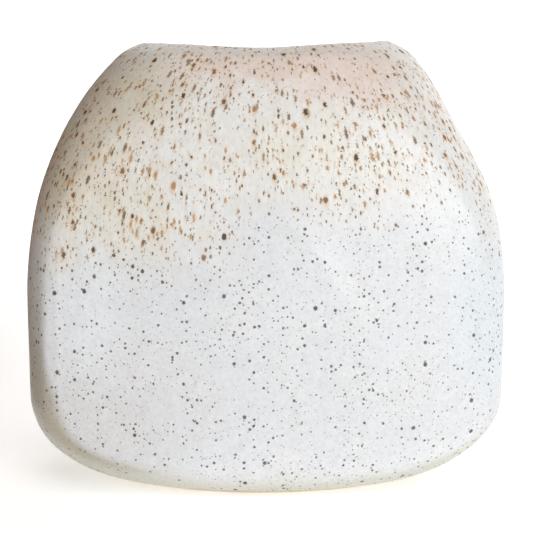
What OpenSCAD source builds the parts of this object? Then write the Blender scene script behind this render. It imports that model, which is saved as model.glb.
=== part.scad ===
// Hand-built stoneware bud vase: a flattened, pebble-like body with one broad paddled face,
// a wide oval mouth with a rolled lip, and a small oval foot.
// X runs across the vase, the paddled face looks along -Y, and Z is up from the middle of the foot.
// Every layer is the same body shape drawn at its own inset, so the layers always nest face to face.

/* [Body] */
// Width across the belly
body_w = 100; // [80:0.1:150]
// Depth through the belly, before the front is paddled
body_d = 56.8; // [46:0.1:85]
// Height of the lip above the table
body_h = 91; // [75:0.1:130]
// Height of the belly's widest part
belly_z = 39; // [28:0.5:48]
// Squareness of the belly seen from above, where 2 is an ellipse
belly_square = 3.2; // [2:0.1:4]
// How much narrower the belly is towards the foot
belly_taper = 0.8; // [0:0.1:2]
// Distance that the body leans over its foot towards +X
body_lean = 0.9; // [-2:0.1:2]
// Depth of the dent in the +X shoulder
dent_depth = 1.9; // [0:0.1:2.5]
// Place of that dent across the body
dent_x = 44; // [36:0.5:48]
// Height of that dent
dent_z = 77; // [60:0.5:84]
// Radius of that dent
dent_r = 13; // [8:0.5:18]

/* [Foot] */
// Width of the flat foot
foot_w = 58; // [40:0.5:70]
// Depth of the flat foot
foot_d = 38.5; // [28:0.5:44]
// Height of the round-over at the two ends of the foot
end_round_h = 18.5; // [12:0.5:26]
// Height of the round-over along the front and back of the foot
side_round_h = 17.5; // [10:0.5:22]

/* [Mouth] */
// Outside width of the lip
mouth_w = 55.5; // [44:0.5:70]
// Outside depth of the lip
mouth_d = 27; // [22:0.5:38]
// Squareness of the mouth seen from above
mouth_square = 2.2; // [2:0.1:3]
// Height of the lip's two-sided wave
lip_wave = 0.4; // [0:0.1:1.5]
// Height by which the lip leans up towards +X
lip_lean = 0.2; // [0:0.1:1]

/* [Paddled face] */
// Distance of the paddled face from the middle of the foot
face_y = 27; // [22:0.1:40]
// Radius that the face bows with from side to side
face_bow_x = 135; // [80:1:200]
// Radius that the face bows back with towards the mouth
face_bow_top = 130; // [60:1:150]
// Radius that the face bows back with towards the foot
face_bow_foot = 560; // [300:10:900]
// Softness of the crease at the left edge of the face, below the belly
crease_left = 0.8; // [0.4:0.1:8]
// Softness of the crease at the right edge of the face, below the belly
crease_right = 6; // [1:0.5:10]
// Softness of the crease where the face runs out under the lip
crease_top = 5; // [1:0.5:10]
// Depth of the thumb hollow in the face
hollow_depth = 1.1; // [0:0.1:1.8]
// Radius of the thumb hollow
hollow_r = 12; // [8:0.5:18]
// Place of the thumb hollow across the face
hollow_x = 26; // [-30:0.5:30]
// Height of the thumb hollow
hollow_z = 46; // [30:0.5:60]

/* [Clay and glaze] */
// Thickness of the clay wall
clay_t = 4.2; // [3:0.1:6]
// Thickness of the clay floor
floor_t = 6; // [4:0.1:8]
// Thickness of the outside and the liner glaze
glaze_t = 0.4; // [0.3:0.05:0.7]
// Thickness of the second glaze, which the mouth end was dipped in
dip_t = 0.3; // [0.2:0.05:0.5]
// Height of the line that the second glaze reaches down to
dip_z = 47; // [40:0.5:70]
// Height by which that line wanders
dip_wander = 2.4; // [0:0.1:4]
// Height of the bare clay edge wiped clean round the foot
bare_h = 1; // [0.6:0.1:2]

/* [Quality] */
// Points round each ring
sides = 60; // [40:4:80]

/* [Hidden] */

// A round-over meets the table at this share of its own height below the table, so the foot has an edge
foot_tuck = 0.007;
// The two side creases' softnesses blend into each other over this width in the middle
crease_blend = 30;
// The body's lean is reached at this height
lean_z = 14;
// The lip's wave fades out this far below the lip
wave_reach = 20;
// The dip line's wander fades out this far above and below the line
wander_reach = 10;
// The second glaze feathers out over this height at its lower edge
feather_h = 3;
lip_r = clay_t / 2 + glaze_t;
neck_z = body_h - lip_r;

// Layers, each as [inset from the glazed outside, height of its own bottom]
DIPPED = [-dip_t, 0];
OUTSIDE = [0, 0];
CLAY_OUT = [glaze_t, 0];
CLAY_IN = [glaze_t + clay_t, floor_t];
LINER_IN = [2 * glaze_t + clay_t, floor_t + glaze_t];

// Heights of the rings below the dip line, above it, and inside
low_heights = [for (i = [0:12]) bare_h + (dip_z - bare_h) * pow(i / 12, 1.7)];
high_heights = [for (i = [0:8]) dip_z + feather_h + (neck_z - dip_z - feather_h) * sin(90 * i / 8)];
inner_shares = [for (i = [0:13]) pow(i / 13, 1.5)];
lip_angles = [22.5:22.5:157.5];

function clamp01(v) = max(0, min(1, v));

// The smaller of a and b, with their crossing rounded over a span of k
function soft_min(a, b, k) =
    let (h = max(k - abs(a - b), 0) / k)
    min(a, b) - h * h * k / 4;

// Share of the way up from the belly to the lip
function up_share(z) = clamp01((z - belly_z) / (body_h - belly_z));

// Quarter-ellipse round-over: 0 at height h and above, 1 at the table
function quarter(z, h) =
    let (full = 1 - sqrt(1 - pow(1 / (1 + foot_tuck), 2)))
    z >= h ? 0 : (1 - sqrt(1 - pow((h - max(z, 0)) / (h * (1 + foot_tuck)), 2))) / full;

// Half-size at height z: an elliptical crown above the belly, and a taper and round-over below it
function half_size(z, full, rim, foot, round_h, layer) =
    let (
        belly = full - layer[0],
        top = rim - layer[0],
        base = foot - layer[0],
        crown = sqrt(1 - (1 - pow(top / belly, 2)) * pow(up_share(z), 2)),
        taper = belly_taper * pow(clamp01((belly_z - z) / belly_z), 2),
        tuck = quarter(z - layer[1], round_h)
    )
    (belly * crown - taper) * (1 - tuck) + base * tuck;

function half_width(z, layer) =
    half_size(z, body_w / 2, mouth_w / 2, foot_w / 2, end_round_h, layer);

function half_depth(z, layer) =
    half_size(z, body_d / 2, mouth_d / 2, foot_d / 2, side_round_h, layer);

// Squareness at height z: an ellipse at the foot, squarest at the belly
function squareness(z) =
    let (down = clamp01((end_round_h - z) / end_round_h))
    belly_square + (mouth_square - belly_square) * pow(up_share(z), 2) + (2 - belly_square) * down * down;

// Thumb hollow pressed into the paddled face
function hollow(x, z) =
    hollow_depth * exp(-(pow(x - hollow_x, 2) + pow(z - hollow_z, 2)) / (hollow_r * hollow_r));

// Distance of the paddled face from the XZ plane at (x, z)
function face(x, z, inset) =
    let (
        rise = z - belly_z,
        bow_z = rise > 0 ? face_bow_top : face_bow_foot
    )
    face_y - inset - x * x / (2 * face_bow_x) - rise * rise / (2 * bow_z) - hollow(x, z);

// Sideways shift of the point at (x, z) by the body's lean and the dent in its shoulder
function sideways(x, z) =
    body_lean * clamp01(z / lean_z)
    - dent_depth * exp(-(pow(x - dent_x, 2) + pow(z - dent_z, 2)) / (dent_r * dent_r));

// How far the lip is lifted at angle a, and how much of that reaches a ring at height z
function lip_lift(a, z) =
    (lip_lean * cos(a) + lip_wave * cos(2 * a)) * pow(clamp01((z - neck_z + wave_reach) / wave_reach), 2);

// Shift of a ring at height z so that one ring follows the dip line
function wander(a, z) =
    dip_wander * (sin(3 * a + 40) + 0.5 * sin(7 * a)) / 1.5 * clamp01(1 - abs(z - dip_z) / wander_reach);

// One point of the layer at nominal height z and angle a
function body_point(a, z, layer) =
    let (
        zs = z + wander(a, z),
        n = squareness(zs),
        k = pow(pow(abs(cos(a)), n) + pow(abs(sin(a)), n), -1 / n),
        x = half_width(zs, layer) * cos(a) * k,
        y = half_depth(zs, layer) * sin(a) * k,
        side_crease = crease_left + (crease_right - crease_left) * clamp01(0.5 + x / crease_blend),
        crease = side_crease + (crease_top - side_crease) * up_share(zs),
        front = soft_min(-y, max(face(x, zs, layer[0]), 0), crease)
    )
    [x + sideways(x, z), y < 0 ? -front : y, zs + lip_lift(a, z)];

// Ring of points at height z, closer together round the two ends of the body than along its sides
function ring(z, layer) = [
    for (i = [0:sides - 1])
        let (t = 360 * i / sides)
        body_point(atan2(body_d * sin(t), body_w * cos(t)), z, layer)
];

// The lip's half-round section at radius r, walked from the outside over the top to the inside
function lip_rings(r) =
    [for (t = lip_angles) ring(neck_z + r * sin(t), [lip_r - r * cos(t), 0])];

function reversed(list) = [for (i = [len(list) - 1:-1:0]) list[i]];

// Two triangles over the quad a, b, c, d, split along its shorter diagonal. Both layers that meet at a
// quad split it the same way, so their faces match
function quad(points, a, b, c, d) =
    norm(points[a] - points[c]) <= norm(points[b] - points[d])
        ? [[a, b, c], [a, c, d]]
        : [[a, b, d], [b, c, d]];

// Skin through a list of rings. A closed skin joins the last ring to the first, and an open one is capped
module skin(rings, closed) {
    count = len(rings);
    joins = closed ? count : count - 1;
    points = [for (r = rings) each r];
    quads = [
        for (r = [0:joins - 1], i = [0:sides - 1])
            let (a = r * sides, b = ((r + 1) % count) * sides, j = (i + 1) % sides)
            each quad(points, a + i, b + i, b + j, a + j)
    ];
    caps = closed ? [] : [
        [for (i = [0:sides - 1]) i],
        [for (i = [sides - 1:-1:0]) (count - 1) * sides + i]
    ];
    polyhedron(points = points, faces = concat(quads, caps), convexity = 8);
}

// Heights of the rings inside, from a layer's own bottom up to the neck
function inner_heights(layer) = [for (s = inner_shares) layer[1] + (neck_z - layer[1]) * s];

// Fired clay wall, from the table up over the lip and down to the floor slab let into it
module wall() {
    outside = [for (z = concat([0], low_heights, high_heights)) ring(z, CLAY_OUT)];
    inside = [for (z = reversed(inner_heights(CLAY_IN))) ring(z, CLAY_IN)];
    slab_edge = [for (p = ring(floor_t, CLAY_IN)) [p[0], p[1], 0]];
    color("#d9c9ae")
        skin(concat(outside, lip_rings(clay_t / 2), inside, [slab_edge]), true);
}

// Clay floor slab, let into the bottom of the wall
module floor_slab() {
    outline = [for (p = ring(floor_t, CLAY_IN)) [p[0], p[1]]];
    color("#cdbb9d")
        linear_extrude(height = floor_t) polygon(outline);
}

// Speckled white glaze over the outside and the lip, wiped off just above the foot
module outer_glaze() {
    heights = concat(low_heights, high_heights);
    outside = [for (z = heights) ring(z, OUTSIDE)];
    inside = [for (z = reversed(heights)) ring(z, CLAY_OUT)];
    lip_end = [ring(neck_z, [2 * lip_r, 0]), ring(neck_z, [2 * lip_r - glaze_t, 0])];
    color("#e6e6e6")
        skin(concat(outside, lip_rings(lip_r), lip_end, reversed(lip_rings(clay_t / 2)), inside), true);
}

// Second, warmer glaze that the mouth end was dipped in, feathered out at the dip line
module upper_glaze() {
    outside = [for (z = high_heights) ring(z, DIPPED)];
    inside = [for (z = reversed(high_heights)) ring(z, OUTSIDE)];
    feather = [ring(dip_z, OUTSIDE)];
    color("#e3d2c6")
        skin(concat(feather, outside, lip_rings(lip_r + dip_t),
            [ring(neck_z, [2 * lip_r + dip_t, 0]), ring(neck_z, [2 * lip_r, 0])],
            reversed(lip_rings(lip_r)), inside), true);
}

// Glossy liner glaze that makes the inside hold water
module liner_glaze() {
    against_clay = [for (z = inner_heights(CLAY_IN)) ring(z, CLAY_IN)];
    wet_face = [for (z = reversed(inner_heights(LINER_IN))) ring(z, LINER_IN)];
    color("#efece4")
        skin(concat(against_clay, wet_face), false);
}

wall();
floor_slab();  // floor
outer_glaze();
upper_glaze();
liner_glaze();
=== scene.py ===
"""Looks of a speckled stoneware bud vase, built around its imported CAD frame.

Shapes are worked out in millimetres by the same body formula as the CAD source, with more points and
with the small dents, ripples and glaze edges of a hand-built pot, and go into Blender in metres.
X runs across the vase, the paddled face looks along -Y, and Z is up.
"""

import math

import bpy
import numpy as np
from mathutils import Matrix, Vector


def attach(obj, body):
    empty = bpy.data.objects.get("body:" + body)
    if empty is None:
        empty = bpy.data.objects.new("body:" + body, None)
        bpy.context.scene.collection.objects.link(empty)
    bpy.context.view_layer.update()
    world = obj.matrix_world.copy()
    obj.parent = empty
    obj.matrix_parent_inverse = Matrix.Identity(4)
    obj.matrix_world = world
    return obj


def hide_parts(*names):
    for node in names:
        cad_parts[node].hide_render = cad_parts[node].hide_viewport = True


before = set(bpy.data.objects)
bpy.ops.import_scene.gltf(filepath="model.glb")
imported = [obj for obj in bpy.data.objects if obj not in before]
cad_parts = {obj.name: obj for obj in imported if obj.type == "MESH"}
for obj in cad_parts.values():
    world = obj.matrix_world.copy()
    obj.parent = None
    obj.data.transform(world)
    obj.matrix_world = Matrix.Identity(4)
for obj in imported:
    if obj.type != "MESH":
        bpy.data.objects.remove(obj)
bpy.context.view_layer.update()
MM = 0.001
ROUND = 512  # points round each ring

# ---------------------------------------------------------------- sizes, in mm, as in the CAD source
BODY_W, BODY_D, BODY_H = 100.0, 56.8, 91.0
BELLY_Z, BELLY_SQUARE, BELLY_TAPER = 39.0, 3.2, 0.8
BODY_LEAN, LEAN_Z = 0.9, 14.0
DENT_DEPTH, DENT_X, DENT_Z, DENT_R = 1.9, 44.0, 77.0, 13.0
FOOT_W, FOOT_D, END_ROUND_H, SIDE_ROUND_H, FOOT_TUCK = 58.0, 38.5, 18.5, 17.5, 0.007
MOUTH_W, MOUTH_D, MOUTH_SQUARE, LIP_WAVE, LIP_LEAN, WAVE_REACH = 55.5, 27.0, 2.2, 0.4, 0.2, 20.0
FACE_Y, FACE_BOW_X, FACE_BOW_TOP, FACE_BOW_FOOT = 27.0, 135.0, 130.0, 560.0
CREASE_LEFT, CREASE_RIGHT, CREASE_TOP, CREASE_BLEND = 0.8, 6.0, 5.0, 30.0
HOLLOW_DEPTH, HOLLOW_R, HOLLOW_X, HOLLOW_Z = 1.1, 12.0, 26.0, 46.0
CLAY_T, FLOOR_T, GLAZE_T, DIP_T = 4.2, 6.0, 0.4, 0.3
DIP_Z, DIP_WANDER, WANDER_REACH, FEATHER_H = 47.0, 2.4, 10.0, 14.0
BARE_H = 1.0
LIP_R = CLAY_T / 2 + GLAZE_T
NECK_Z = BODY_H - LIP_R

# marks of the hand, only in the looks: places are X and Z on the face
PRESS_EDGE, PRESS_RIDGE, PRESS_DEPTH = ((11, 50), (19, 38)), 0.2, 0.6
DIP_PAT, DIP_PAT_R, DIP_PAT_DEPTH = (-5, 60), 10, 0.6
CREASE_RIDGES = ((-1.3, 0.10, 0.3), (-2.7, 0.12, 0.4))  # distance past the crease, height, width
SHOULDER_RIDGE = 0.4
LIP_SAG, LIP_DIP, LIP_REACH = 0.2, 0.35, 9


# ---------------------------------------------------------------- smooth seeded noise
class Noise:
    """Smooth noise over space, from -1 to 1, on a seeded lattice."""

    def __init__(self, seed, size=32):
        self.size = size
        self.grid = np.random.default_rng(seed).uniform(-1, 1, (size, size, size))

    def __call__(self, points, wavelength):
        q = points / wavelength + 100
        cell = np.floor(q).astype(int)
        f = q - cell
        f = f * f * f * (f * (f * 6 - 15) + 10)
        total = 0
        for corner in np.ndindex(2, 2, 2):
            at = (cell + corner) % self.size
            weight = np.prod(np.where(np.array(corner) == 1, f, 1 - f), axis=-1)
            total = total + weight * self.grid[at[..., 0], at[..., 1], at[..., 2]]
        return total


undulate, paddle, ripple = (Noise(seed) for seed in (3, 11, 23))


# ---------------------------------------------------------------- the body formula
def share(v):
    return np.clip(v, 0, 1)


def smooth(v):
    v = share(v)
    return v * v * (3 - 2 * v)


def soft_min(a, b, k):
    h = np.maximum(k - np.abs(a - b), 0) / k
    return np.minimum(a, b) - h * h * k / 4


def quarter(z, h):
    """Quarter-ellipse round-over: 0 at height h and above, 1 at the table."""
    full = 1 - math.sqrt(1 - (1 / (1 + FOOT_TUCK)) ** 2)
    t = np.clip((h - np.maximum(z, 0)) / (h * (1 + FOOT_TUCK)), 0, 1 / (1 + FOOT_TUCK))
    return (1 - np.sqrt(1 - t * t)) / full


def half_size(z, full, rim, foot, round_h, inset, bottom):
    belly, top, base = full - inset, rim - inset, foot - inset
    up = share((z - BELLY_Z) / (BODY_H - BELLY_Z))
    crown = np.sqrt(1 - (1 - (top / belly) ** 2) * up**2)
    taper = BELLY_TAPER * share((BELLY_Z - z) / BELLY_Z) ** 2
    tuck = quarter(z - bottom, round_h)
    return (belly * crown - taper) * (1 - tuck) + base * tuck


def pillow(a, z, inset, bottom=0.0):
    """X and Y of the body at angle a and height z before its face was paddled flat."""
    c, s = np.cos(a), np.sin(a)
    up = share((z - BELLY_Z) / (BODY_H - BELLY_Z))
    down = share((END_ROUND_H - z) / END_ROUND_H)
    n = BELLY_SQUARE + (MOUTH_SQUARE - BELLY_SQUARE) * up**2 + (2 - BELLY_SQUARE) * down**2
    k = (np.abs(c) ** n + np.abs(s) ** n) ** (-1 / n)
    x = half_size(z, BODY_W / 2, MOUTH_W / 2, FOOT_W / 2, END_ROUND_H, inset, bottom) * c * k
    y = half_size(z, BODY_D / 2, MOUTH_D / 2, FOOT_D / 2, SIDE_ROUND_H, inset, bottom) * s * k
    return x, y


def face(x, z, inset):
    """Distance of the paddled face from the XZ plane, without its hollow."""
    rise = z - BELLY_Z
    bow = np.where(rise > 0, FACE_BOW_TOP, FACE_BOW_FOOT)
    return FACE_Y - inset - x * x / (2 * FACE_BOW_X) - rise**2 / (2 * bow)


def past_crease(a, z):
    """How far the pillow shape lies inside the face's plane: above 0 past the crease, below 0 on the face."""
    x, y = pillow(a, z, 0)
    return face(x, z, 0) - np.abs(y)


def body(a, z, inset, bottom=0.0):
    """Points of the body surface at angles a and heights z, inset by that much, as one (..., 3) array."""
    c = np.cos(a)
    up = share((z - BELLY_Z) / (BODY_H - BELLY_Z))
    x, y = pillow(a, z, inset, bottom)
    hollow = HOLLOW_DEPTH * np.exp(-((x - HOLLOW_X) ** 2 + (z - HOLLOW_Z) ** 2) / HOLLOW_R**2)
    flat = face(x, z, inset) - hollow
    crease = CREASE_LEFT + (CREASE_RIGHT - CREASE_LEFT) * share(0.5 + x / CREASE_BLEND)
    crease = crease + (CREASE_TOP - crease) * up
    y = np.where(y < 0, -soft_min(-y, np.maximum(flat, 0), crease), y)
    dent = DENT_DEPTH * np.exp(-((x - DENT_X) ** 2 + (z - DENT_Z) ** 2) / DENT_R**2)
    reach = share((z - NECK_Z + WAVE_REACH) / WAVE_REACH) ** 2
    lift = (LIP_LEAN * c + LIP_WAVE * np.cos(2 * a)) * reach
    return np.stack([x + BODY_LEAN * share(z / LEAN_Z) - dent, y, z + lift], axis=-1)


def wander(a, z):
    """Shift of a ring at height z so that the ring at the dip line wanders as the dip line does."""
    wave = (np.sin(3 * a + math.radians(40)) + 0.5 * np.sin(7 * a)) / 1.5
    return DIP_WANDER * wave * share(1 - np.abs(z - DIP_Z) / WANDER_REACH)


TURN = np.linspace(0, 2 * math.pi, ROUND, endpoint=False)
ANGLES = np.arctan2(BODY_D * np.sin(TURN), BODY_W * np.cos(TURN))


def surface_frame(a, z):
    """Outward normal and upward meridian of the glazed outside at angles a and heights z."""
    around = body(a + 0.01, z, 0) - body(a - 0.01, z, 0)
    up = body(a, z + 0.1, 0) - body(a, z - 0.1, 0)
    normal = np.cross(around, up)
    return (v / np.linalg.norm(v, axis=-1, keepdims=True) for v in (normal, up))


def bump(v, width):
    return np.exp(-((v / width) ** 2))


def hand_marks(outside, gap):
    """What hands and paddle leave, as height along the outside's normal: broad waves, pats and fine ripples.
    The paddled face also has a thumb press's edge, a shallow dip, and fine ridges beside its crease."""
    x, y, z = outside.T
    depth = 0.16 * undulate(outside, 24) + 0.06 * paddle(outside, 9) + 0.015 * ripple(outside, 3.2)
    (x1, z1), (x2, z2) = PRESS_EDGE
    length = math.hypot(x2 - x1, z2 - z1)
    along = ((x - x1) * (x2 - x1) + (z - z1) * (z2 - z1)) / length**2
    across = ((z - z1) * (x2 - x1) - (x - x1) * (z2 - z1)) / length
    pressed = PRESS_DEPTH * smooth(across / 3) * bump(across, 13)
    press = bump(along - 0.5, 0.7) * (PRESS_RIDGE * bump(across, 2.4) - pressed)
    dip = -DIP_PAT_DEPTH * bump(np.hypot(x - DIP_PAT[0], z - DIP_PAT[1]), DIP_PAT_R)
    left = smooth((-10 - x) / 20)
    ridges = sum(height * bump(gap - at, width) for at, height, width in CREASE_RIDGES) * left
    shoulder = SHOULDER_RIDGE * bump(gap + 0.4, 0.9) * smooth((z - 45) / 15)
    front = np.where(y < 0, press + dip + ridges + shoulder, 0.5 * shoulder)
    return (depth + front - 0.13) * smooth((z - 0.5) / 6)  # the foot stays flat


def ring(z, inset, bottom=0.0):
    """Ring of the body at height z: place, meridian and distance past the crease for each angle."""
    z = np.full(ROUND, float(z))
    z = z + wander(ANGLES, z)
    outside = body(ANGLES, z, 0)
    normal, up = surface_frame(ANGLES, z)
    gap = past_crease(ANGLES, z)
    place = body(ANGLES, z, inset, bottom) + normal * hand_marks(outside, gap)[:, None]
    round_lip = outside * (1, 1, 0)
    sag = LIP_SAG * (0.6 * undulate(round_lip, 15) + 0.4 * paddle(round_lip, 6) - 1)
    sag = sag - LIP_DIP * bump(outside[:, 0] - 2, 16)
    place[:, 2] += sag * share((z - NECK_Z + LIP_REACH) / LIP_REACH) ** 2
    return np.hstack([place, up, gap[:, None]])


def lip(r, turns):
    """Rings of the lip's half-round section at radius r. turns are degrees from its outside over the top."""
    angles = [math.radians(t) for t in turns]
    return [ring(NECK_Z + r * math.sin(a), LIP_R - r * math.cos(a)) for a in angles]


def narrowed(row, by):
    """A ring drawn in towards its middle."""
    return row * (by, by, 1, 1, 1, 1, 1)


# ---------------------------------------------------------------- rings to meshes
def make_piece(name, rings, closed, nodes, material, sharp=()):
    """A swept shell through rings, closed on itself or capped at both ends. sharp lists hard-edged rings."""
    grid = np.array(rings)
    count = len(grid)
    points = grid[..., :3].reshape(-1, 3) * MM
    r = np.arange(count if closed else count - 1)[:, None]
    i = np.arange(ROUND)[None, :]
    j, s = (i + 1) % ROUND, (r + 1) % count
    corners = [r * ROUND + i, r * ROUND + j, s * ROUND + j, s * ROUND + i]
    faces = np.stack(corners, axis=-1).reshape(-1, 4).tolist()
    if not closed:
        faces += [list(range(ROUND))[::-1], [(count - 1) * ROUND + k for k in range(ROUND)]]
    mesh = bpy.data.meshes.new(name)
    mesh.from_pydata(points.tolist(), [], faces)
    mesh.validate()
    mesh.shade_smooth()
    flow = mesh.attributes.new("meridian", "FLOAT_VECTOR", "POINT")
    flow.data.foreach_set("vector", grid[..., 3:6].reshape(-1).astype(np.float32))
    past = mesh.attributes.new("past_crease", "FLOAT", "POINT")
    past.data.foreach_set("value", grid[..., 6].reshape(-1).astype(np.float32))
    if sharp:
        hard = {r % count for r in sharp}
        ends = np.zeros(len(mesh.edges) * 2, np.int32)
        mesh.edges.foreach_get("vertices", ends)
        ends = ends.reshape(-1, 2) // ROUND
        flags = (ends[:, 0] == ends[:, 1]) & np.isin(ends[:, 0], list(hard))
        mesh.attributes.new("sharp_edge", "BOOLEAN", "EDGE").data.foreach_set("value", flags)
    piece = bpy.data.objects.new(name, mesh)
    bpy.context.scene.collection.objects.link(piece)
    mesh.materials.append(material)
    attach(piece, "root")
    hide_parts(*nodes)
    return piece


# ---------------------------------------------------------------- material building blocks
class Tree:
    """A short way to write shader nodes. Values are sockets or numbers."""

    def __init__(self, tree):
        self.tree = tree

    def node(self, kind, inputs=(), **settings):
        n = self.tree.nodes.new(kind)
        for key, value in settings.items():
            setattr(n, key, value)
        for key, value in dict(inputs).items():
            self.put(n.inputs[key], value)
        return n

    def put(self, socket, value):
        if isinstance(value, bpy.types.NodeSocket):
            self.tree.links.new(value, socket)
        else:
            socket.default_value = value

    def math(self, operation, *values, clamp=False):
        n = self.node("ShaderNodeMath", operation=operation, use_clamp=clamp)
        for k, v in enumerate(values):
            self.put(n.inputs[k], v)
        return n.outputs[0]

    def vector(self, operation, *values, out=0):
        n = self.node("ShaderNodeVectorMath", operation=operation)
        for k, v in enumerate(values):
            self.put(n.inputs["Scale" if operation == "SCALE" and k == 1 else k], v)
        return n.outputs[out]

    def ramp(self, value, low, high, to_low=0.0, to_high=1.0, soft=True):
        """value mapped from low..high to to_low..to_high, with eased ends if soft."""
        kind = "SMOOTHSTEP" if soft else "LINEAR"
        inputs = {"Value": value, "From Min": low, "From Max": high, "To Min": to_low, "To Max": to_high}
        return self.node("ShaderNodeMapRange", inputs, interpolation_type=kind).outputs[0]

    def mix(self, factor, a, b, blend="MIX"):
        n = self.node("ShaderNodeMix", data_type="RGBA", blend_type=blend)
        for socket, value in ((n.inputs[0], factor), (n.inputs[6], a), (n.inputs[7], b)):
            self.put(socket, value)
        return n.outputs[2]

    def noise(self, where, scale, detail=2.0, roughness=0.5, distortion=0.0):
        inputs = {"Vector": where, "Scale": scale, "Detail": detail, "Roughness": roughness,
                  "Distortion": distortion}
        return self.node("ShaderNodeTexNoise", inputs).outputs[0]


def linear(r, g, b):
    """Colour as seen on a screen, 0 to 255, as the shader's linear value."""
    v = [c / 255 for c in (r, g, b)]
    return [*(c / 12.92 if c <= 0.04045 else ((c + 0.055) / 1.055) ** 2.4 for c in v), 1.0]


def new_material(name):
    m = bpy.data.materials.new(name)
    m.use_nodes = True
    m.node_tree.nodes.clear()
    return m, Tree(m.node_tree)


def finish_material(t, **inputs):
    shader = t.node("ShaderNodeBsdfPrincipled")
    for key, value in inputs.items():
        t.put(shader.inputs[key.replace("_", " ")], value)
    out = t.node("ShaderNodeOutputMaterial")
    t.tree.links.new(shader.outputs[0], out.inputs[0])


# ---------------------------------------------------------------- specks of iron in the glaze
def spots(t, where, flow, scale, keep, radius, stretch, seed, edge=0.3):
    """One layer of iron specks. scale is cells per mm, keep the share of cells with a speck, radius the
    largest in mm and stretch how much longer than wide. Returns core and halo masks and a random number."""
    squat = (1.0, 1.0, CELL_SQUAT)  # cells stand taller than wide, to hold the streaks
    moved = t.vector("MULTIPLY", t.vector("ADD", where, (seed * 17.3, seed * 7.9, seed * 29.1)), squat)
    cell = t.node("ShaderNodeTexVoronoi", {"Vector": moved, "Scale": scale, "Randomness": 1.0},
                  voronoi_dimensions="3D", feature="F1")
    away = t.vector("DIVIDE", t.vector("SUBTRACT", moved, cell.outputs["Position"]), squat)
    along = t.vector("DOT_PRODUCT", away, flow, out=1)
    deep = t.vector("DOT_PRODUCT", away, t.node("ShaderNodeNewGeometry").outputs["Normal"], out=1)
    square = t.vector("DOT_PRODUCT", away, away, out=1)
    square = t.math("SUBTRACT", square, t.math("MULTIPLY", along, along))
    across = t.math("MAXIMUM", t.math("SUBTRACT", square, t.math("MULTIPLY", deep, deep)), 0.0)
    random = t.node("ShaderNodeSeparateColor", {"Color": cell.outputs["Color"]}).outputs
    rank = t.math("DIVIDE", t.math("SUBTRACT", random[0], t.math("SUBTRACT", 1.0, keep)), keep)
    size = t.math("ADD", t.math("MULTIPLY", t.math("MULTIPLY", rank, rank), 0.62), 0.38)
    size = t.math("MULTIPLY", t.math("MULTIPLY", size, radius), t.math("GREATER_THAN", rank, 0.0))
    near = t.math("MULTIPLY", t.math("ABSOLUTE", deep), scale)
    size = t.math("MAXIMUM", t.math("MULTIPLY", size, t.ramp(near, 0.42, 0.36)), 0.001)
    long = t.math("DIVIDE", along, stretch)
    core = t.math("SQRT", t.math("ADD", across, t.math("MULTIPLY", long, long)))
    mask = t.ramp(t.math("DIVIDE", core, size), 1 + edge, 1 - edge)
    run = t.math("ADD", along, t.math("MULTIPLY", size, 0.6))
    run = t.math("DIVIDE", run, t.math("MULTIPLY", stretch, 1.25))
    halo = t.math("SQRT", t.math("ADD", across, t.math("MULTIPLY", run, run)))
    halo = t.ramp(t.math("DIVIDE", halo, size), 2.3, 0.7)
    return mask, halo, random[1]


def blob(t, where, centre, radii):
    """A soft patch round a point, 1 in the middle."""
    scaled = t.vector("DIVIDE", t.vector("SUBTRACT", where, centre), radii)
    return t.ramp(t.vector("LENGTH", scaled, out=1), 1.0, 0.15)


def ragged(t, where, amount):
    """where, shaken a little, so that what is drawn with it has uneven edges."""
    shake = t.node("ShaderNodeTexNoise", {"Vector": where, "Scale": 2.8, "Detail": 3.0}).outputs["Color"]
    return t.vector("ADD", where, t.vector("SCALE", t.vector("SUBTRACT", shake, (0.5, 0.5, 0.5)), amount))


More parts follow.
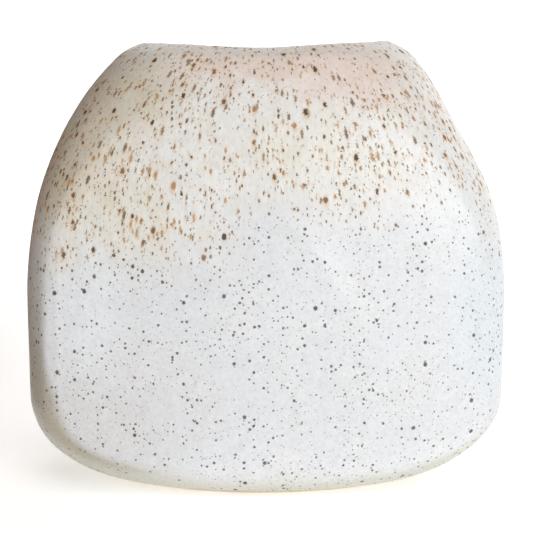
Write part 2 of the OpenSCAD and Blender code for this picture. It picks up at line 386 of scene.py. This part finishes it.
def glaze(name, base_rough, **surface):
    """Satin white glaze over speckled clay. Both dips share the recipe, so it runs on across the dip line."""
    m, t = new_material(name)
    where = t.vector("SCALE", t.node("ShaderNodeTexCoord").outputs["Object"], 1 / MM)
    flow = t.node("ShaderNodeAttribute", attribute_name="meridian").outputs["Vector"]
    past = t.node("ShaderNodeAttribute", attribute_name="past_crease").outputs["Fac"]
    place = t.node("ShaderNodeSeparateXYZ", {"Vector": where}).outputs
    x, z = place[0], place[2]
    drift = t.math("SUBTRACT", t.noise(where, 0.045, 3, 0.55), 0.5)
    wavy = t.math("ADD", z, t.math("MULTIPLY", drift, 26.0))
    # the warm zone reaches lower on the left
    wavy = t.math("SUBTRACT", wavy, t.ramp(x, -26.0, 6.0, 0.0, 8.0))
    upper = t.ramp(wavy, *DIP_FADE)  # 0 below the dip line, 1 above it
    # the colour of the glaze: cool white low down, warmer and creamy above, with soft patches, among them
    # painted highlights and painted shade
    mottle = t.noise(where, 0.11, 4, 0.6)
    fine = t.noise(where, 1.3, 3, 0.7)
    colour = t.mix(t.ramp(mottle, 0.3, 0.7), WHITE_COOL, WHITE_PLAIN)
    colour = t.mix(t.ramp(wavy, 42.0, 60.0), colour, WHITE_WARM)
    for centre, radii, amount, tint in PATCHES:
        cloudy = t.ramp(mottle, 0.3, 0.6, 0.6 * amount, amount)
        patch = t.math("MULTIPLY", blob(t, where, centre, radii), cloudy)
        colour = t.mix(patch, colour, tint)
    # past the crease: beige low down, partly thin glaze over the clay and partly painted shade where the foot
    # turns under; painted warm shade at the left end; blushing under the lip
    edge = t.math("ADD", past, t.math("MULTIPLY", t.math("SUBTRACT", mottle, 0.5), 6.0))
    blush = t.math("MULTIPLY", t.ramp(edge, 0.0, 1.6), t.ramp(z, 66.0, 82.0))
    side = t.ramp(t.math("ABSOLUTE", t.math("SUBTRACT", x, 6.0)), 27.0, 14.0, 0.15, 1.0)
    # partly a painted highlight: the blush fades at the lip's edge so that the lip reads light, like its lit
    # front edge
    blush = t.math("MULTIPLY", blush, t.ramp(z, 86.0, 91.0, 1.0, 0.3))  # the lip's edge stays pale
    colour = t.mix(t.math("MULTIPLY", blush, side), colour, BLUSH)
    # painted shade: the left end, past the crease and along the lower-left corner, is toned a darker warm
    # beige as if it faced away from the light
    left = t.ramp(x, -6.0, -38.0)
    left_shade = t.math("ADD", past, t.ramp(t.math("ABSOLUTE", t.math("SUBTRACT", z, 17.0)), 13.0, 0.0, -0.3, 1.4))
    rim = t.math("MULTIPLY", t.ramp(left_shade, -3.6, -1.2, 0.0, 0.12), t.ramp(z, 40.0, 20.0))
    left_shade = t.math("MAXIMUM", t.ramp(left_shade, -0.9, 0.9), rim)
    left_shade = t.math("MULTIPLY", t.math("MULTIPLY", left_shade, left), t.ramp(z, 52.0, 12.0, 0.25, 1.0))
    colour = t.mix(left_shade, colour, LEFT_PAINTED_SHADE)
    # low down past the crease the colour turns darker beige: partly thinner glaze over the clay, partly
    # painted shade on the band that turns under towards the table
    thin = t.math("MULTIPLY", t.ramp(past, 0.2, 3.5), t.ramp(z, 20.0, 4.0, 0.0, 0.85))
    colour = t.mix(thin, colour, THIN_GLAZE_AND_SHADE)
    # cloudiness: a warm wash that ran down from the lip, broad clouds, and a fine grain
    wash = t.noise(t.vector("MULTIPLY", where, (1.0, 1.0, 0.7)), 0.26, 4, 0.6)
    reach = t.math("MULTIPLY", upper, t.ramp(x, 4.0, -30.0, 0.2, 0.45))
    wash = t.math("MULTIPLY", t.ramp(wash, 0.42, 0.68), reach)
    colour = t.mix(wash, colour, WASH)
    cloud = t.noise(where, 0.28, 3, 0.6)
    colour = t.mix(1.0, colour, t.ramp(cloud, 0.3, 0.7, 0.98, 1.035, soft=False), "MULTIPLY")
    runs = t.noise(t.vector("MULTIPLY", where, (1.0, 1.0, 0.3)), 1.5, 3, 0.7)
    still = t.math("MULTIPLY", fine, t.math("SUBTRACT", 1.0, upper))
    grain = t.math("ADD", t.math("MULTIPLY", runs, upper), still)
    colour = t.mix(1.0, colour, t.ramp(grain, 0.3, 0.7, 0.90, 1.04, soft=False), "MULTIPLY")
    # specks
    shaken = ragged(t, where, t.ramp(upper, 0.0, 1.0, 0.35, 0.8))
    drifts = t.noise(where, 0.11, 2, 0.5)
    clump = t.math("MULTIPLY", t.ramp(drifts, 0.32, 0.68), t.ramp(upper, 0.0, 1.0, 0.7, 0.9))
    clump = t.math("ADD", clump, t.ramp(upper, 0.0, 1.0, 0.6, 0.45))
    for centre, radii, amount in THICKETS:
        clump = t.math("ADD", clump, t.math("MULTIPLY", blob(t, where, centre, radii), amount))
    speck_tone = t.mix(upper, SPECK_DARK, SPECK_RUST)
    speck_black = t.mix(upper, SPECK_BLACK, SPECK_UMBER)
    relief = 0.0
    for cells, keep, below, above, seed, halo_strength in SPECK_LAYERS:
        (r0, stretch0, strength0), (r1, stretch1, strength1) = below, above
        grown = t.ramp(upper, 0.0, 1.0, r0, r1, soft=False)
        stretch = t.ramp(upper, 0.0, 1.0, stretch0, stretch1, soft=False)
        strength = t.ramp(upper, 0.0, 1.0, strength0, strength1, soft=False)
        kept = t.math("MULTIPLY", clump, keep)
        mask, halo, pick = spots(t, shaken, flow, cells, kept, grown, stretch, seed)
        tone = t.mix(t.ramp(pick, 0.6, 0.8), speck_tone, speck_black)
        tone = t.mix(t.math("MULTIPLY", t.ramp(pick, 0.55, 0.1), upper), tone, SPECK_OCHRE)
        colour = t.mix(t.math("MULTIPLY", t.math("MULTIPLY", halo, upper), halo_strength), colour, HALO)
        core = t.math("MULTIPLY", mask, strength)
        colour = t.mix(core, colour, tone)
        relief = t.math("MAXIMUM", relief, core)
    # surface: orange peel, pinholes and the small pits over specks
    peel = t.noise(where, 1.1, 2, 0.5)
    bumps = t.math("ADD", t.math("MULTIPLY", peel, 0.6), t.math("MULTIPLY", fine, 0.4))
    bumps = t.math("SUBTRACT", bumps, t.math("MULTIPLY", relief, 0.35))
    normal = t.node("ShaderNodeBump", {"Height": bumps, "Strength": 0.35, "Distance": 0.00008}).outputs[0]
    rough = t.ramp(mottle, 0.25, 0.75, base_rough - 0.05, base_rough + 0.06)
    rough = t.math("ADD", rough, t.math("MULTIPLY", relief, 0.15))
    finish_material(t, Base_Color=colour, Roughness=rough, Normal=normal, **surface)
    return m


def bare_clay(name):
    m, t = new_material(name)
    where = t.vector("SCALE", t.node("ShaderNodeTexCoord").outputs["Object"], 1 / MM)
    grog = t.noise(where, 1.6, 5, 0.7)
    cloud = t.noise(where, 0.12, 3, 0.5)
    colour = t.mix(t.ramp(cloud, 0.3, 0.7), CLAY, CLAY_PALE)
    colour = t.mix(t.math("MULTIPLY", t.ramp(grog, 0.45, 0.75), 0.5), colour, CLAY_DEEP)
    flow = t.node("ShaderNodeAttribute", attribute_name="meridian").outputs["Vector"]
    for scale, keep, radius, seed in ((0.8, 0.5, 0.30, 5), (1.5, 0.4, 0.14, 6)):
        mask, _, _ = spots(t, where, flow, scale, keep, radius, 1.0, seed)
        colour = t.mix(t.math("MULTIPLY", mask, 0.8), colour, SPECK_DARK)
    normal = t.node("ShaderNodeBump", {"Height": grog, "Strength": 0.6, "Distance": 0.00018}).outputs[0]
    finish_material(t, Base_Color=colour, Roughness=t.ramp(grog, 0.3, 0.7, 0.78, 0.92), Normal=normal)
    return m


def liner(name):
    m, t = new_material(name)
    where = t.vector("SCALE", t.node("ShaderNodeTexCoord").outputs["Object"], 1 / MM)
    flow = t.node("ShaderNodeAttribute", attribute_name="meridian").outputs["Vector"]
    mottle = t.noise(where, 0.1, 3, 0.5)
    colour = t.mix(t.ramp(mottle, 0.3, 0.7), LINER, LINER_POOL)
    for scale, keep, radius, seed in ((0.7, 0.35, 0.35, 8), (1.2, 0.4, 0.16, 9)):
        mask, halo, _ = spots(t, where, flow, scale, keep, radius, 1.2, seed)
        colour = t.mix(t.math("MULTIPLY", halo, 0.12), colour, HALO)
        colour = t.mix(t.math("MULTIPLY", mask, 0.75), colour, SPECK_DARK)
    peel = t.noise(where, 0.8, 2, 0.5)
    normal = t.node("ShaderNodeBump", {"Height": peel, "Strength": 0.25, "Distance": 0.00008}).outputs[0]
    finish_material(t, Base_Color=colour, Roughness=t.ramp(mottle, 0.3, 0.7, 0.16, 0.24), Normal=normal)
    return m


WHITE_COOL = linear(222, 223, 226)
WHITE_PLAIN = linear(224, 224, 224)
WHITE_WARM = linear(231, 229, 225)
# painted highlight white, for where the face catches the light
PAINTED_HIGHLIGHT_WHITE = linear(233, 235, 237)
# painted shade, a slightly darker grey
PAINTED_SHADE_GREY = linear(222, 219, 219)
# painted cool light, a bluish white
COOL_LIGHT_TINT = linear(215, 225, 229)
CREAM = linear(228, 222, 204)
# tan of the glaze, deepened as painted shade on the upper left
TAN_AND_SHADE = linear(212, 198, 170)
WASH = linear(222, 208, 184)
BLUSH = linear(225, 206, 196)
PINK = linear(227, 203, 194)
# painted warm shade for the left end
LEFT_PAINTED_SHADE = linear(176, 168, 150)
# darker beige of the foot's turned-under band: thin glaze, and painted shade
THIN_GLAZE_AND_SHADE = linear(198, 196, 184)
SPECK_DARK = linear(76, 70, 69)
SPECK_RUST = linear(118, 82, 58)
SPECK_OCHRE = linear(178, 134, 90)
SPECK_BLACK = linear(48, 42, 41)
SPECK_UMBER = linear(66, 44, 36)
HALO = linear(214, 186, 150)
CLAY = linear(204, 188, 162)
CLAY_PALE = linear(212, 198, 174)
CLAY_DEEP = linear(176, 156, 126)
LINER = linear(236, 233, 226)
LINER_POOL = linear(226, 222, 212)
# soft clouds in the glaze, and patches of painted highlight, painted shade and painted cool light: centre,
# radii, amount and colour
PATCHES = (
    # tan on the upper left: partly the glaze's colour, partly painted shade where the upper left faces away
    # from the light
    ((-38, -14, 66), (15, 26, 17), 0.75, TAN_AND_SHADE),
    ((-27, -13, 80), (17, 18, 13), 0.8, TAN_AND_SHADE),
    ((-28, -20, 56), (16, 18, 15), 0.5, CREAM),
    ((8, -22, 70), (16, 16, 7), 0.45, CREAM),
    ((47, -8, 54), (7, 20, 12), 0.35, CREAM),
    # painted highlights: lighter patches on the left of the face and on the lit ridge at the upper right
    ((-34, -22, 36), (10, 14, 28), 0.9, PAINTED_HIGHLIGHT_WHITE),
    ((38, -18, 62), (14, 14, 20), 0.6, PAINTED_HIGHLIGHT_WHITE),
    # painted shade low on the left of the face
    ((-26, -22, 20), (20, 14, 18), 0.6, PAINTED_SHADE_GREY),
    # painted cool light on the right side, which faces the cool key light
    ((46, -12, 36), (16, 22, 24), 0.7, COOL_LIGHT_TINT),
    ((-8, 22, 66), (22, 14, 9), 0.5, CREAM),
    ((14, -14, 84), (15, 14, 9), 0.7, PINK),
    ((-14, 14, 84), (15, 14, 9), 0.6, PINK),
)
# where specks crowd together or are few: centre, radii and how much more or less than usual
THICKETS = (
    ((27, -12, 82), (9, 14, 12), 0.55),
    ((-14, -16, 80), (16, 14, 7), 0.5),
    ((13, -22, 69), (12, 12, 9), 0.4),
    ((-34, -16, 66), (14, 20, 16), 0.35),
    ((10, -26, 60), (26, 12, 9), -0.45),
    ((6, -15, 78), (10, 10, 5), -0.4),
)
CELL_SQUAT = 0.55  # height of a speck's cell over its width
DIP_FADE = (42.0, 55.0)  # heights between which round specks give way to streaks
# layers of specks: cells per mm, share kept, then the largest radius, the stretch and the strength, once for
# below the dip line and once for above it, then the seed and the halo's strength
SPECK_LAYERS = (
    (1.60, 0.55, (0.15, 1.0, 0.48), (0.14, 1.8, 0.55), 1, 0.15),
    (1.05, 0.50, (0.30, 1.0, 0.85), (0.25, 2.0, 0.88), 2, 0.40),
    (0.80, 0.46, (0.10, 1.0, 0.30), (0.31, 3.2, 0.78), 3, 0.55),
    (0.50, 0.32, (0.44, 1.1, 0.90), (0.50, 1.6, 0.97), 4, 0.70),
)

# ---------------------------------------------------------------- the five pieces
clay = bare_clay("bare_stoneware")
white = glaze("white_glaze", 0.42)
warm = glaze("warm_glaze", 0.40)
inside = liner("liner_glaze")


def spaced(low, high, step):
    return np.linspace(low, high, max(2, int(round((high - low) / step)) + 1))


low_z = spaced(BARE_H + 0.5, DIP_Z, 0.5)
high_z = spaced(DIP_Z, NECK_Z, 0.5)
coarse_z = spaced(BARE_H + 0.5, NECK_Z, 3.0)
inner_z = FLOOR_T + (NECK_Z - FLOOR_T) * np.linspace(0, 1, 90) ** 1.4
wet_z = FLOOR_T + GLAZE_T + (NECK_Z - FLOOR_T - GLAZE_T) * np.linspace(0, 1, 90) ** 1.4

# clay wall: bare at the foot, and under the glaze above it
foot_in = ring(FLOOR_T, GLAZE_T + CLAY_T, FLOOR_T)
foot_in[:, 2] = 0
wall_rings = [ring(z, GLAZE_T) for z in (0, 0.12, 0.3, 0.5, 0.75, 1.0, 1.3, 1.6)]
wall_rings += [ring(z, GLAZE_T) for z in coarse_z[1:]]
wall_rings += lip(CLAY_T / 2, range(20, 180, 20))
wall_rings += [ring(z, GLAZE_T + CLAY_T, FLOOR_T) for z in inner_z[::-3]]
wall_rings += [ring(FLOOR_T, GLAZE_T + CLAY_T, FLOOR_T), foot_in]
make_piece("clay_wall", wall_rings, True, ["wall"], clay, sharp=(0, -1))

# clay floor: its underside shows inside the foot ring
floor_top = ring(FLOOR_T, GLAZE_T + CLAY_T, FLOOR_T)
floor_rings = [narrowed(foot_in, s) for s in (0.05, 0.3, 0.6, 0.85, 1.0)]
floor_rings += [narrowed(floor_top, s) for s in (1.0, 0.85, 0.6, 0.3, 0.05)]
make_piece("clay_floor", floor_rings, False, ["floor"], clay, sharp=(4, 5))

# first glaze: from its rounded edge above the foot up to the dip line, then thin under the second glaze
bead = [(BARE_H, GLAZE_T), (BARE_H + 0.03, 0.22), (BARE_H + 0.15, 0.08), (BARE_H + 0.32, 0.02)]
white_rings = [ring(z, i) for z, i in bead] + [ring(z, 0) for z in low_z]
white_rings += [ring(z, 0.12) for z in spaced(DIP_Z + 0.3, NECK_Z, 3.0)]
white_rings += lip(LIP_R - 0.12, range(20, 180, 20))
white_rings += [ring(NECK_Z, 2 * LIP_R - 0.12), ring(NECK_Z, 2 * LIP_R - GLAZE_T)]
white_rings += lip(CLAY_T / 2, range(160, 0, -20))
white_rings += [ring(z, GLAZE_T) for z in coarse_z[::-1]]
edge = len(bead) + len(low_z) - 1
make_piece("outer_glaze_coat", white_rings, True, ["outer_glaze"], white, sharp=(edge,))

# second glaze: feathered in from the dip line, thickest on the shoulder, over the lip and just inside
warm_rings = [ring(z, -DIP_T * float(smooth((z - DIP_Z) / FEATHER_H))) for z in high_z]
warm_rings += lip(LIP_R + DIP_T, np.linspace(0, 180, 25)[1:])
warm_rings += [ring(NECK_Z - 0.3, 2 * LIP_R + DIP_T - 0.1), ring(NECK_Z - 0.3, 2 * LIP_R)]
warm_rings += lip(LIP_R - 0.1, range(160, 0, -20))
warm_rings += [ring(z, 0.1) for z in spaced(DIP_Z + 0.3, NECK_Z, 3.0)[::-1]]
make_piece("upper_glaze_coat", warm_rings, True, ["upper_glaze"], warm, sharp=(0,))

# liner: a thin cup, against the clay outside and wet inside
liner_rings = [ring(z, GLAZE_T + CLAY_T, FLOOR_T) for z in inner_z[::3]]
liner_rings += [ring(NECK_Z, GLAZE_T + CLAY_T, FLOOR_T)]
liner_rings += [ring(z, 2 * GLAZE_T + CLAY_T, FLOOR_T + GLAZE_T) for z in wet_z[::-1]]
bottom = liner_rings[-1]
liner_rings += [narrowed(bottom, s) for s in (0.85, 0.6, 0.3, 0.05)]
first = liner_rings[0]
liner_rings = [narrowed(first, s) for s in (0.05, 0.3, 0.6, 0.85)] + liner_rings
make_piece("liner_glaze_cup", liner_rings, False, ["liner_glaze"], inside)


# ---------------------------------------------------------------- floor, backdrop, lights, camera
def sweep(width, front, back, bend, height):
    """A pale floor that bends up into a backdrop."""
    profile = [(-front, 0.0), (back - bend, 0.0)]
    for a in np.linspace(0.05, math.pi / 2, 24):
        profile.append((back - bend + bend * math.sin(a), bend - bend * math.cos(a)))
    profile += [(back, height)]
    points = [(x, y, z) for y, z in profile for x in (-width, width)]
    faces = [(2 * k, 2 * k + 1, 2 * k + 3, 2 * k + 2) for k in range(len(profile) - 1)]
    mesh = bpy.data.meshes.new("studio_sweep")
    mesh.from_pydata(points, [], faces)
    mesh.shade_smooth()
    obj = bpy.data.objects.new("studio_sweep", mesh)
    bpy.context.scene.collection.objects.link(obj)
    m, t = new_material("studio_sweep")
    finish_material(t, Base_Color=linear(250, 250, 250), Roughness=0.9, Emission_Color=(1, 1, 1, 1),
                    Emission_Strength=0.45)
    mesh.materials.append(m)


def sun(name, towards, power, angle, colour):
    """Distant soft light that comes from the direction towards."""
    light = bpy.data.lights.new(name, "SUN")
    light.energy, light.angle, light.color = power, math.radians(angle), colour
    obj = bpy.data.objects.new(name, light)
    obj.rotation_euler = Vector(towards).to_track_quat("Z", "Y").to_euler()
    bpy.context.scene.collection.objects.link(obj)


def card(name, x, near, far, height, colour):
    """An upright card beside the vase, which shades it and isn't seen by the camera."""
    mesh = bpy.data.meshes.new(name)
    low = 0.002  # just clear of the floor
    mesh.from_pydata([(x, near, low), (x, far, low), (x, far, height), (x, near, height)], [], [(0, 1, 2, 3)])
    obj = bpy.data.objects.new(name, mesh)
    bpy.context.scene.collection.objects.link(obj)
    m, t = new_material(name)
    finish_material(t, Base_Color=colour, Roughness=0.9)
    mesh.materials.append(m)
    obj.visible_camera = False


sweep(width=3.0, front=2.0, back=1.6, bend=0.5, height=2.5)
sun("key", (0.55, -0.82, 0.18), 1.9, 40, (0.97, 0.985, 1.0))
sun("top", (0.15, -0.4, 1.0), 1.0, 50, (1.0, 0.985, 0.96))
card("shade_card", -0.10, -0.03, 0.25, 0.20, linear(110, 80, 52))

world = bpy.data.worlds.new("studio")
world.use_nodes = True
world.node_tree.nodes["Background"].inputs[0].default_value = (1.0, 1.0, 1.0, 1.0)
world.node_tree.nodes["Background"].inputs[1].default_value = 0.05
bpy.context.scene.world = world
bpy.context.scene.view_settings.view_transform = "Standard"

# level with the lip, a little right of the foot's middle, aimed at the middle of the body
CAMERA_PLACE, CAMERA_AIM, CAMERA_LENS = (0.0011, -0.340, 0.091), Vector((0.0011, 0.0, 0.0441)), 109.1
camera = bpy.data.objects.new("camera", bpy.data.cameras.new("camera"))
camera.data.sensor_width = 36
camera.data.lens = CAMERA_LENS
camera.data.clip_start = 0.01
camera.location = CAMERA_PLACE
camera.rotation_euler = (CAMERA_AIM - camera.location).to_track_quat("-Z", "Y").to_euler()
bpy.context.scene.collection.objects.link(camera)
bpy.context.scene.camera = camera
